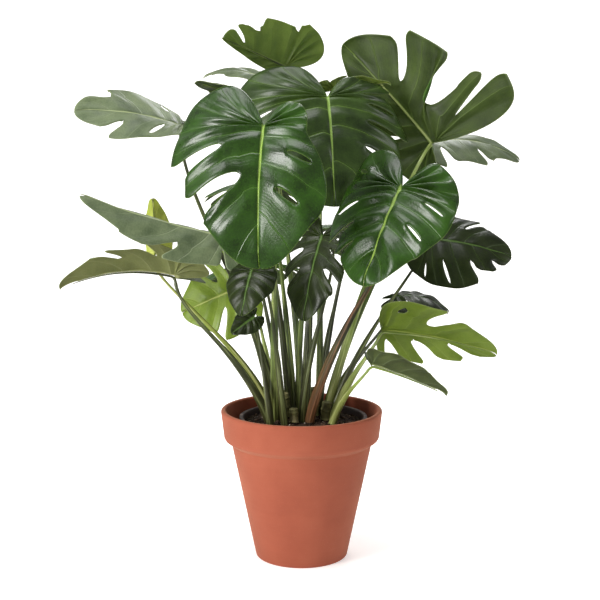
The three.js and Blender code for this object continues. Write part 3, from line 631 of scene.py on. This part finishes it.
bladeSetting = dict(
    ribSpan=22, thickness=0.9, share=0.12, sharedAngle=160, rowPower=1.25, rowsPerMm=0.13, fewestRows=12,
    columnsPerMm=0.22, fewestColumns=10, ripple=1.6, waves=11, edgeCurl=2.2, curlReach=5, curlFull=150,
    fingerDroop=6, droopFull=220, droopFrom=0.45, slant=0.22, ribSink=1.2, sinkReach=4, uncut=99)


def ofHalf(value, side):
    # a setting may be one number for both halves, or [left, right]
    return value[0 if side < 0 else 1] if isinstance(value, list) else value


def margin(leaf, side, angle):
    # distance from the seat to the outline over the blade's length, by angle from the tip: a heart
    # with a drawn out tip, closed at the sinus. pinch narrows the lobe of one half
    sinus = np.pi - np.radians(ofHalf(leaf["gap"], side))
    heart = 0.58 + 0.22 * np.cos(angle) + 0.22 * np.exp(-(angle / 0.33) ** 2)
    lobe = ofHalf(leaf["lobe"], side) * np.exp(-((angle - 2.1) / 0.55) ** 2)
    narrow = 1 - ofHalf(leaf["pinch"], side) * smooth((angle - 0.55) / 0.8)
    return (heart + lobe) * narrow * (1 - np.exp(-((sinus - angle) / 0.2) ** 2))


def flatPoint(leaf, side, angle, v, claw=1):
    # place on the flat half blade in mm: v runs from the midrib (0) to the outline (1) along a side
    # vein, a quadratic curve that leaves the midrib and bends towards the tip
    reach = margin(leaf, side, angle) * claw
    edgeX, edgeY = reach * np.sin(angle) * ofHalf(leaf["wide"], side), reach * np.cos(angle)
    start = 0.85 * np.clip(1 - angle / np.radians(84), 0, 1) ** 1.65
    middleX, middleY = 0.55 * edgeX, start + 0.28 * (edgeY - start)
    x = 2 * v * (1 - v) * middleX + v * v * edgeX
    y = (1 - v) ** 2 * start + 2 * v * (1 - v) * middleY + v * v * edgeY
    return leaf["length"] * x, leaf["length"] * y


def leafAxes(leaf):
    # unit directions: along the midrib, to the right of it, and out of the upper face
    heading, dip, roll = np.radians(leaf["turn"])
    along = np.array([np.cos(dip) * np.cos(heading), np.cos(dip) * np.sin(heading), -np.sin(dip)])
    level = np.array([np.sin(heading), -np.cos(heading), 0])
    upright = np.cross(level, along)
    return along, level * np.cos(roll) + upright * np.sin(roll), upright * np.cos(roll) - level * np.sin(roll)


def bentPoint(leaf, side, x, y, drop):
    # the flat place carried onto the grown blade: an arc along the midrib, an arc across each half,
    # then a twist about the midrib; drop is how far the point lies under that surface
    length = leaf["length"]
    curl = np.radians(np.where(y >= 0, leaf["bend"], leaf["back"])) / length + 1e-9
    phi = curl * y
    forward, fall = np.sin(phi) / curl, -(1 - np.cos(phi)) / curl
    fold = np.radians(ofHalf(leaf["fold"], side))
    arch = np.radians(ofHalf(leaf["arch"], side)) / (0.6 * length) + 1e-9
    slope = fold - arch * x
    out, rise = (np.sin(fold) - np.sin(slope)) / arch, (np.cos(slope) - np.cos(fold)) / arch - drop
    along, right, up = leafAxes(leaf)
    phi, turn = phi[..., None], (np.radians(leaf["twist"]) * y / length)[..., None]
    localUp = up * np.cos(phi) + along * np.sin(phi)
    localRight = right * np.cos(turn) + localUp * np.sin(turn)
    normal = localUp * np.cos(turn) - right * np.sin(turn)
    start = np.array(leaf["seat"]) + along * forward[..., None] + up * fall[..., None]
    return start + localRight * (side * out)[..., None] + normal * rise[..., None]


def ribEdges(cuts, sinus):
    # the angles that part one side vein's strip from the next, from the sinus to the tip, each with its cut
    marks = [(sinus, None)] + [(cut[0], cut) for cut in sorted(cuts, reverse=True)] + [(0, None)]
    edges = marks[:1]
    for (a, _), (b, cut) in zip(marks, marks[1:]):
        count = max(1, round((a - b) / bladeSetting["ribSpan"]))
        edges += [(a + (b - a) * k / count, None) for k in range(1, count)] + [(b, cut)]
    return edges


def cutWidth(cut, v):
    # half the angle that a cut takes out, opening with a round end; a hole closes again
    if cut is None:
        return 0 * v
    if len(cut) > 3 and cut[3] < 1:
        q = np.clip((v - cut[1]) / (cut[3] - cut[1]), 0, 1)
        return cut[2] * 2 * np.sqrt(q * (1 - q))
    q = np.clip((v - cut[1]) / (1 - cut[1]), 0, 1)
    return cut[2] * q ** 0.4 * (1.1 - 0.35 * q) + 3 * np.clip((v - 0.8) / 0.2, 0, 1) ** 3


def cutSkew(cut, v):
    # how far the inner end of a cut leans away from its angle, straightening towards the margin
    if cut is None or len(cut) < 5:
        return 0 * v
    return cut[4] * smooth(v / cut[1]) * (1 - np.clip((v - cut[1]) / (1 - cut[1]), 0, 1))


def bladeHalf(leaf, side):
    # strips of points, one strip for each side vein. Along a strip the angle runs from one edge to the
    # next, and at the midrib all strips share the same points
    gap = 180 - ofHalf(leaf["gap"], side)
    edges = ribEdges(leaf["left"] if side < 0 else leaf["right"], gap)
    p = bladeSetting
    total = 2 * round(leaf["length"] * p["columnsPerMm"] + p["fewestColumns"])
    v = np.linspace(0, 1, round(leaf["length"] * p["rowsPerMm"] + p["fewestRows"])) ** p["rowPower"]
    angles = np.array([angle for angle, _ in edges])
    widths = np.array([cutWidth(cut, v) for _, cut in edges])
    skews = np.array([cutSkew(cut, v) for _, cut in edges])
    first = 2 * np.round(total / 2 * (1 - angles / gap)).astype(int)
    steps = np.diff(first)
    rib = np.repeat(np.arange(len(steps)), steps + 1)
    column = np.arange(len(rib)) - rib
    a = ((column - first[rib]) / steps[rib])[:, None]
    low = angles[rib][:, None] + skews[rib] - widths[rib]
    high = angles[rib + 1][:, None] + skews[rib + 1] + widths[rib + 1]
    shared = p["sharedAngle"] * (1 - column / total)[:, None]
    blend = smooth(v / p["share"])
    angle = np.radians(shared + (low + (high - low) * a - shared) * blend)

    # a finger's end is cut slanting, longer on the side towards the tip
    fingers = np.array([gap] + [edge[0] for edge, width in zip(edges, widths) if width[-1] > 0] + [0.0])
    last = len(fingers) - 2
    finger = np.clip(np.searchsorted(-fingers, -np.degrees(angle), side="right") - 1, 0, last)
    within = (fingers[finger] - np.degrees(angle)) / (fingers[finger] - fingers[finger + 1])
    slant = np.where(finger == last, 0, p["slant"])
    claw = 1 + slant * smooth((v - 0.5) / 0.5) * (np.clip(within, 0, 1) ** 2 - 0.4)
    x, y = flatPoint(leaf, side, angle, v, claw)

    # sizes in mm across each strip, to its side vein and to the nearest edge
    lowX, lowY = flatPoint(leaf, side, np.radians(low), v)
    highX, highY = flatPoint(leaf, side, np.radians(high), v)
    across = np.hypot(highX - lowX, highY - lowY)
    veinMm = np.abs(a - 0.5) * across
    rimX, rimY = flatPoint(leaf, side, angle, 1 + 0 * v, claw)
    outer = np.hypot(rimX - x, rimY - y)
    fromLow = np.where(widths[rib] > 0, a * across, p["uncut"])
    fromHigh = np.where(widths[rib + 1] > 0, (1 - a) * across, p["uncut"])
    edgeMm = np.minimum(outer, np.minimum(fromLow, fromHigh))

    # the blade swells between side veins, droops at the ends of its fingers, curls down at its cuts
    # and ripples along its margin
    settle = 1 - np.exp(-((np.radians(gap) - angle) / 0.4) ** 2)
    swell = np.cos(2 * np.pi * a) * np.sqrt(np.sin(np.pi * np.clip(v, 0, 1)).clip(0))
    droop = (0.4 + 0.6 * np.sin(2.4 * angle + leaf["seat"][0]) ** 2) * leaf["length"] / p["droopFull"]
    split = smooth((v - p["droopFrom"]) / 0.5) * (angle > 0.5)
    curl = np.exp(-edgeMm / p["curlReach"]) * (v > 0.2) * min(1, leaf["length"] / p["curlFull"])
    ripple = np.sin(p["waves"] * angle + leaf["seat"][1] + side) * v ** 3
    drop = p["fingerDroop"] * split * droop - leaf["quilt"] / 2 * swell * settle
    drop = drop + p["edgeCurl"] * curl + p["ripple"] * ripple * settle
    drop = drop - p["ribSink"] * (1 - np.exp(-(x / p["sinkReach"]) ** 2))
    points = bentPoint(leaf, side, x, y, drop)
    leafMm = np.stack([side * x, y, y / leaf["length"]], -1)
    veins = np.stack([veinMm, v + 0 * x, edgeMm], -1)

    # quads inside each strip
    strip = np.flatnonzero(np.diff(rib) == 0)
    row = np.arange(len(v) - 1)
    corner = strip[:, None] * len(v) + row
    quads = np.stack([corner, corner + 1, corner + 1 + len(v), corner + len(v)], -1).reshape(-1, 4)
    if side < 0:
        quads = quads[:, ::-1]
    return points.reshape(-1, 3), quads, leafMm.reshape(-1, 3), veins.reshape(-1, 3)


def newBlade(leaf, materials, slot):
    left, right = bladeHalf(leaf, -1), bladeHalf(leaf, 1)
    faces = np.concatenate([left[1], right[1] + len(left[0])])
    points, leafMm, veins = [np.concatenate([left[k], right[k]]) for k in (0, 2, 3)]
    blade = newPiece("blade_" + leaf["name"], points, faces, materials, slot, ["leaf_" + leaf["name"]],
                     weld=0.05, values=dict(leafMm=leafMm, veins=veins))
    wall = blade.modifiers.new("thickness", "SOLIDIFY")
    wall.thickness = bladeSetting["thickness"] * mm
    wall.offset = 0
    wall.material_offset = 1
    wall.material_offset_rim = 2


# living leaf with its natural wax. The upper face is dark and glossy, with paler veins sunk into it and
# a fine net of veins about 5 mm across. The lower face is paler and matt, with its veins raised. Some
# light comes through
upperFace = dict(shine=0.4, raised=-1, veinWidth=0.8)
lowerFace = dict(shine=0.4, raised=1, veinWidth=1.2, coat=0.0, rough=0.46)
leafLooks = dict(
    deep=dict(upperFace, name="waxedLeafDeepGreen", dark="#182b08", light="#2a4c0c", vein="#456a1e",
        rib="#84a048", edge="#54702a", glow="#5c9014", through=0.07, rough=0.27, coat=0.08),
    # dusk: a dull, darkened upper face for a leaf that lies in the shade of the front leaf: painted shade
    dusk=dict(upperFace, name="waxedLeafDuskGreenPaintedShade", dark="#1d2b0e", light="#34491a", vein="#5d7a30",
        rib="#7d9a48", edge="#4a5f2c", glow="#5c8818", through=0.06, rough=0.33, coat=0.08, shine=0.3,
        veinWidth=0.9),
    # shade: a darker, duller copy of the upper face for leaves that lie in shade: painted shade
    shade=dict(upperFace, name="waxedLeafPaintedShadeGreen", dark="#141b08", light="#252f0f", vein="#354818",
        rib="#47602a", edge="#40502a", glow="#4c7410", through=0.06, rough=0.36, coat=0.04, shine=0.25),
    mid=dict(upperFace, name="waxedLeafMidGreen", dark="#26400f", light="#3c6018", vein="#54802a",
        rib="#8aa640", edge="#64823a", glow="#7cac20", through=0.12, rough=0.32, coat=0.1),
    # grey: a paler, greyed upper face for leaves that look hazy with sheen: partly painted sheen
    grey=dict(upperFace, name="waxedLeafGreyGreenPaintedSheen", dark="#46523a", light="#6a7656", vein="#7c8866",
        rib="#949f74", edge="#86916c", glow="#84a840", through=0.12, rough=0.42, coat=0.0, shine=0.3,
        veinWidth=0.9),
    young=dict(upperFace, name="waxedLeafYoungGreen", dark="#5e7222", light="#7f9434", vein="#90a048",
        rib="#acb662", edge="#98a654", glow="#acc43c", through=0.26, rough=0.38, coat=0.06, veinWidth=1.0),
    underDeep=dict(lowerFace, name="mattLeafUndersideDeepGreen", dark="#2a370f", light="#41521c",
        vein="#5c7032", rib="#748a40", edge="#5a6e34", glow="#88ac24", through=0.14),
    underMid=dict(lowerFace, name="mattLeafUndersideMidGreen", dark="#50632a", light="#6f833a",
        vein="#6c8036", rib="#86984a", edge="#6e823c", glow="#94b828", through=0.2),
    underGrey=dict(lowerFace, name="mattLeafUndersideGreyGreen", dark="#343e1f", light="#4b562e",
        vein="#65714a", rib="#8e9862", edge="#7a8556", glow="#8cac34", through=0.12, rough=0.5),
    underOlive=dict(lowerFace, name="mattLeafUndersideOlive", dark="#52572d", light="#6e7342",
        vein="#828656", rib="#9ea06c", edge="#868a58", glow="#a4b43c", through=0.18, rough=0.48),
    underYoung=dict(lowerFace, name="mattLeafUndersideYoung", dark="#5a6b22", light="#788a38",
        vein="#8a9a46", rib="#a6b05c", edge="#929e4e", glow="#a8c438", through=0.28),
    bud=dict(upperFace, name="waxedLeafBudGreen", dark="#98a43c", light="#b4bd5c", vein="#b8be6c",
        rib="#c6ca84", edge="#b8be78", glow="#c4cc60", through=0.22, rough=0.42, coat=0.06, veinWidth=1.0),
    margin=dict(lowerFace, name="driedLeafMargin", dark="#4a5a28", light="#647240", vein="#647240",
        rib="#74804c", edge="#74804c", glow="#98b43c", through=0.1, rough=0.5, veinWidth=1.0))


def leafMaterial(look):
    material, tree, onPiece = newMaterial(look["name"])
    leafMm = addNode(tree, "Attribute", {"attribute_name": "leafMm"})
    veins = addNode(tree, "Attribute", {"attribute_name": "veins"})
    onLeaf = addNode(tree, "SeparateXYZ", links={"Vector": (leafMm, "Vector")})
    onVein = addNode(tree, "SeparateXYZ", links={"Vector": (veins, "Vector")})

    # colour: clouds about 40 mm across, with small flecks in them
    cloud = addNode(tree, "TexNoise", noise(22.0, 4.0, 0.6), onPiece)
    fleck = addNode(tree, "TexNoise", noise(0.35, 3.0), {"Vector": (leafMm, "Vector")})
    tone = addNode(tree, "Math", {**scaledSum, 1: 0.35}, {0: fleck, 2: cloud})
    base = addNode(tree, "ValToRGB", links={"Fac": tone}, stops=[(0.50, look["dark"]), (0.88, look["light"])])

    # side veins: a pale line that narrows outwards, with a soft paler zone beside it
    lineWidth = addNode(tree, "MapRange", spans(0, 1, look["veinWidth"], 0.35), {"Value": (onVein, "Y")})
    lineShare = addNode(tree, "Math", {"operation": "DIVIDE"}, {0: (onVein, "X"), 1: lineWidth})
    line = addNode(tree, "MapRange", spans(1.25, 0.45, **eased), {"Value": lineShare})
    zone = addNode(tree, "MapRange", spans(7.0, 0.0, 0, 0.12, **eased), {"Value": (onVein, "X")})
    lineAll = addNode(tree, "Math", {**scaledSum, 1: 0.5}, {0: line, 2: zone})
    veined = addNode(tree, "Mix", {**inColour, 7: linear(look["vein"])}, {0: lineAll, 6: base})

    # midrib: a pale band that narrows towards the tip
    ribWidth = addNode(tree, "MapRange", spans(0, 1, 2.9, 0.7), {"Value": (onLeaf, "Z")})
    ribAway = addNode(tree, "Math", {"operation": "ABSOLUTE"}, {0: (onLeaf, "X")})
    ribShare = addNode(tree, "Math", {"operation": "DIVIDE"}, {0: ribAway, 1: ribWidth})
    rib = addNode(tree, "MapRange", spans(1.3, 0.6, **eased), {"Value": ribShare})
    ribbed = addNode(tree, "Mix", {**inColour, 7: linear(look["rib"])}, {0: rib, 6: (veined, 2)})

    # a pale margin 1 mm wide, round the outline and the cuts
    edge = addNode(tree, "MapRange", spans(1.5, 0.2, 0, 0.8, **eased), {"Value": (onVein, "Z")})
    edged = addNode(tree, "Mix", {**inColour, 7: linear(look["edge"])}, {0: edge, 6: (ribbed, 2)})

    # relief: side veins and midrib sunk or raised, fine parallel veins 5 mm apart, and the net between
    # them, all in mm
    net = addNode(tree, "TexVoronoi", {"feature": "DISTANCE_TO_EDGE", "Scale": 0.22},
                  {"Vector": (leafMm, "Vector")})
    netMm = addNode(tree, "MapRange", spans(0, 0.25, 0, 0.07), {"Value": (net, "Distance")})
    ridge = addNode(tree, "Math", {"operation": "MULTIPLY", 1: 2 * math.pi / 5.2}, {0: (onVein, "X")})
    wave = addNode(tree, "Math", {"operation": "COSINE"}, {0: ridge})
    waved = addNode(tree, "Math", {**scaledSum, 1: -0.03}, {0: wave, 2: netMm})
    groove = addNode(tree, "MapRange", spans(3.0, 0.0, 0, 0.7, **eased), {"Value": lineShare})
    deep = addNode(tree, "Math", {"operation": "MAXIMUM"}, {0: groove, 1: rib})
    height = addNode(tree, "Math", {**scaledSum, 1: 0.8 * look["raised"]}, {0: deep, 2: waved})
    pitted = addNode(tree, "TexNoise", noise(700.0, 2.0), onPiece)
    heightFine = addNode(tree, "Math", {**scaledSum, 1: 0.06}, {0: pitted, 2: height})
    relief = addNode(tree, "Bump", {"Strength": 0.9, "Distance": 0.001}, {"Height": heightFine})

    # wax is uneven, so the gloss varies, and some light comes through the blade
    dull, bright = look["rough"] + 0.10, look["rough"] - 0.05
    rough = addNode(tree, "MapRange", spans(0.3, 0.75, bright, dull), {"Value": cloud})
    wax = {"Coat Weight": look["coat"], "Coat Roughness": 0.22, "IOR": 1.42,
           "Specular IOR Level": look["shine"]}
    body = addNode(tree, "BsdfPrincipled", wax,
                   {"Base Color": (edged, 2), "Roughness": rough, "Normal": relief})
    inside = addNode(tree, "BsdfTranslucent", {"Color": linear(look["glow"])}, {"Normal": relief})
    both = addNode(tree, "MixShader", {0: look["through"]}, {1: body, 2: inside})
    addNode(tree, "OutputMaterial", links={"Surface": both})
    return material


leafFaces = {key: leafMaterial(look) for key, look in leafLooks.items()}

for leaf in leaves:
    upper, lower, _ = leaf["look"].split()
    faces = [leafFaces[upper], leafFaces[lower], leafFaces["margin"]]
    newBlade(leaf, faces, "young_leaf" if leaf["name"] == "left_unfurling" else "leaf")
print("leaf blades:", len(leaves))


# ---- stalks

# each stalk leaves the soil at root, leans towards its leaf and arches into the blade, where it goes on
# as the midrib under it
stalkSetting = dict(
    soilLevel=260, buried=(8, 4), leanShare=0.6, footReach=0.45, headReach=0.25, headAngle=20, headGap=12,
    bendGap=3.5, underBlade=0.4, pressed=0.85, steps=60, ribStart=5, ribSteps=26, sides=20, ribEnd=0.9,
    ribRadius=2.3, grooveDepth=0.22, sheathShare=0.42, sheathWing=0.45)


def ribPlaces(leaf):
    # how far from the seat the midrib's circles lie
    end = stalkSetting["ribEnd"] * leaf["length"]
    return np.linspace(stalkSetting["ribStart"], end, stalkSetting["ribSteps"])


def stalkPath(leaf):
    # a cubic Bezier curve from the soil to the seat, then the midrib's own curve just under the blade
    p = stalkSetting
    seat = np.array(leaf["seat"], float)
    along, _, up = leafAxes(leaf)
    foot = np.array([*leaf["root"], p["soilLevel"]], float)
    run = np.linalg.norm(seat - foot)
    lean = p["leanShare"] * (seat - foot) / (seat[2] - foot[2])
    lean[2] = 1
    lean /= np.linalg.norm(lean)
    into = up * math.cos(math.radians(p["headAngle"])) + along * math.sin(math.radians(p["headAngle"]))
    head = seat - into * p["headGap"]
    t = np.linspace(0, 1, p["steps"])[:, None]
    first, second = foot + lean * p["footReach"] * run, seat - into * p["headReach"] * run
    curve = (1 - t) ** 3 * foot + 3 * t * (1 - t) ** 2 * first + 3 * t * t * (1 - t) * second + t ** 3 * head
    buried = foot - lean * np.array(p["buried"])[:, None]
    y = ribPlaces(leaf)
    depth = bladeSetting["thickness"] / 2 + ribRadius(leaf, y) * p["pressed"] + p["underBlade"]
    rib = bentPoint(leaf, 1, 0 * y, y, depth)
    t = np.array([0.35, 0.7])[:, None]
    joint = (1 - t) ** 2 * head + 2 * t * (1 - t) * (seat - into * p["bendGap"]) + t * t * rib[0]
    return np.concatenate([buried, curve, joint, rib]), len(buried) + len(curve)


def ribRadius(leaf, y):
    # the midrib thins evenly to the tip
    thick = stalkSetting["ribRadius"] * (1 if leaf["length"] > 120 else 0.75)
    return thick * (1 - 0.75 * y / leaf["length"])


def stalkRadius(leaf, share):
    # widest where it sheathes the cane, then an even taper, with a slight knee before the blade
    scale = 1 if leaf["length"] > 170 else 0.78
    shares = [0, 0.08, 0.3, 0.45, 0.9, 0.955, 0.985, 1]
    return scale * np.interp(share, shares, [7.8, 7.6, 5.8, 4.1, 2.9, 3.3, 3.6, 3.1])


def stalkChange(size, along, angle, path, across, upward):
    # a groove runs up the inner side, between two thin wings of the sheath on the lower part
    inner = -path
    inner[:, 2] = 120
    towards = np.arctan2((inner * upward).sum(1), (inner * across).sum(1))[:, None]
    away = np.abs((angle - towards + np.pi) % (2 * np.pi) - np.pi)
    share = along / along[-1]
    low = smooth((stalkSetting["sheathShare"] - share) / 0.12)
    wing = stalkSetting["sheathWing"] * low * np.exp(-((away - 0.55) / 0.2) ** 2)
    groove = stalkSetting["grooveDepth"] * (0.35 + 0.65 * low) * np.exp(-(away / 0.32) ** 2)
    return size * (1 + wing - groove + 0.03 * np.sin(along / 23 + 2 * angle))


# living leaf stalk: smooth, satin and fleshy, in green with paler streaks along it, which are partly painted
# highlights; a browner tone towards the foot where the sheath has dried
stalkLooks = dict(
    green=dict(name="freshStalkGreen", dark="#303f14", light="#566a28",
               streak="#a2b068", low="#4c4c22", rough=0.38),
    dark=dict(name="freshStalkDarkGreen", dark="#22280f", light="#3e461c",
               streak="#7a8450", low="#38361a", rough=0.40),
    pale=dict(name="freshStalkPaleGreen", dark="#586c2c", light="#849648",
               streak="#b6bc7c", low="#878a4e", rough=0.38),
    bright=dict(name="freshStalkYellowGreen", dark="#707c2c", light="#959e48",
               streak="#c2c484", low="#8c8c4a", rough=0.38),
    rust=dict(name="freshStalkReddish", dark="#24260f", light="#3e3c1c",
               streak="#96684a", low="#5e3c24", rough=0.40))


def stalkMaterial(look):
    material, tree, onPiece = newMaterial(look["name"])
    laid = addNode(tree, "Attribute", {"attribute_name": "laid"})
    drawn = addNode(tree, "Mapping", {"Scale": (0.24, 0.24, 0.008)}, {"Vector": (laid, "Vector")})
    split = addNode(tree, "SeparateXYZ", links={"Vector": (laid, "Vector")})
    streak = addNode(tree, "TexNoise", noise(1.0, 4.0, 0.6), {"Vector": drawn})
    cloud = addNode(tree, "TexNoise", noise(14.0, 3.0), onPiece)
    base = addNode(tree, "ValToRGB", links={"Fac": cloud},
                   stops=[(0.35, look["dark"]), (0.65, look["light"])])
    foot = addNode(tree, "MapRange", spans(170.0, 20.0, 0, 0.75, **eased), {"Value": (split, "Z")})
    aged = addNode(tree, "Mix", {**inColour, 7: linear(look["low"])}, {0: foot, 6: base})
    # pale streaks along the stalk: partly its own streaks, partly painted highlights
    pale = addNode(tree, "MapRange", spans(0.50, 0.64, 0, 0.8), {"Value": streak})
    streakedAndHighlit = addNode(tree, "Mix", {**inColour, 7: linear(look["streak"])}, {0: pale, 6: (aged, 2)})
    skin = {"Roughness": look["rough"], "Coat Weight": 0.08, "Coat Roughness": 0.25}
    addSurface(tree, skin, (streakedAndHighlit, 2), streak, strength=0.35, depth=0.6)
    return material


stalkMaterials = {key: stalkMaterial(look) for key, look in stalkLooks.items()}

for leaf in leaves:
    path, stalkSteps = stalkPath(leaf)
    share = np.linspace(0, 1, stalkSteps)
    rib = ribRadius(leaf, ribPlaces(leaf))
    stalk = stalkRadius(leaf, share)
    joint = np.interp([1, 2], [0, 3], [stalk[-1], rib[0]])
    radius = np.concatenate([stalk, joint, rib])
    points, faces, laid = tubeSurface(path, radius, stalkSetting["sides"], stalkChange)
    skin = stalkMaterials[leaf["look"].split()[2]]
    newPiece("stalk" + leaf["name"].title().replace("_", ""), points, faces, [skin], "stalk",
             ["stalk_" + leaf["name"]], values=dict(laid=laid))
print("stalks:", len(leaves))
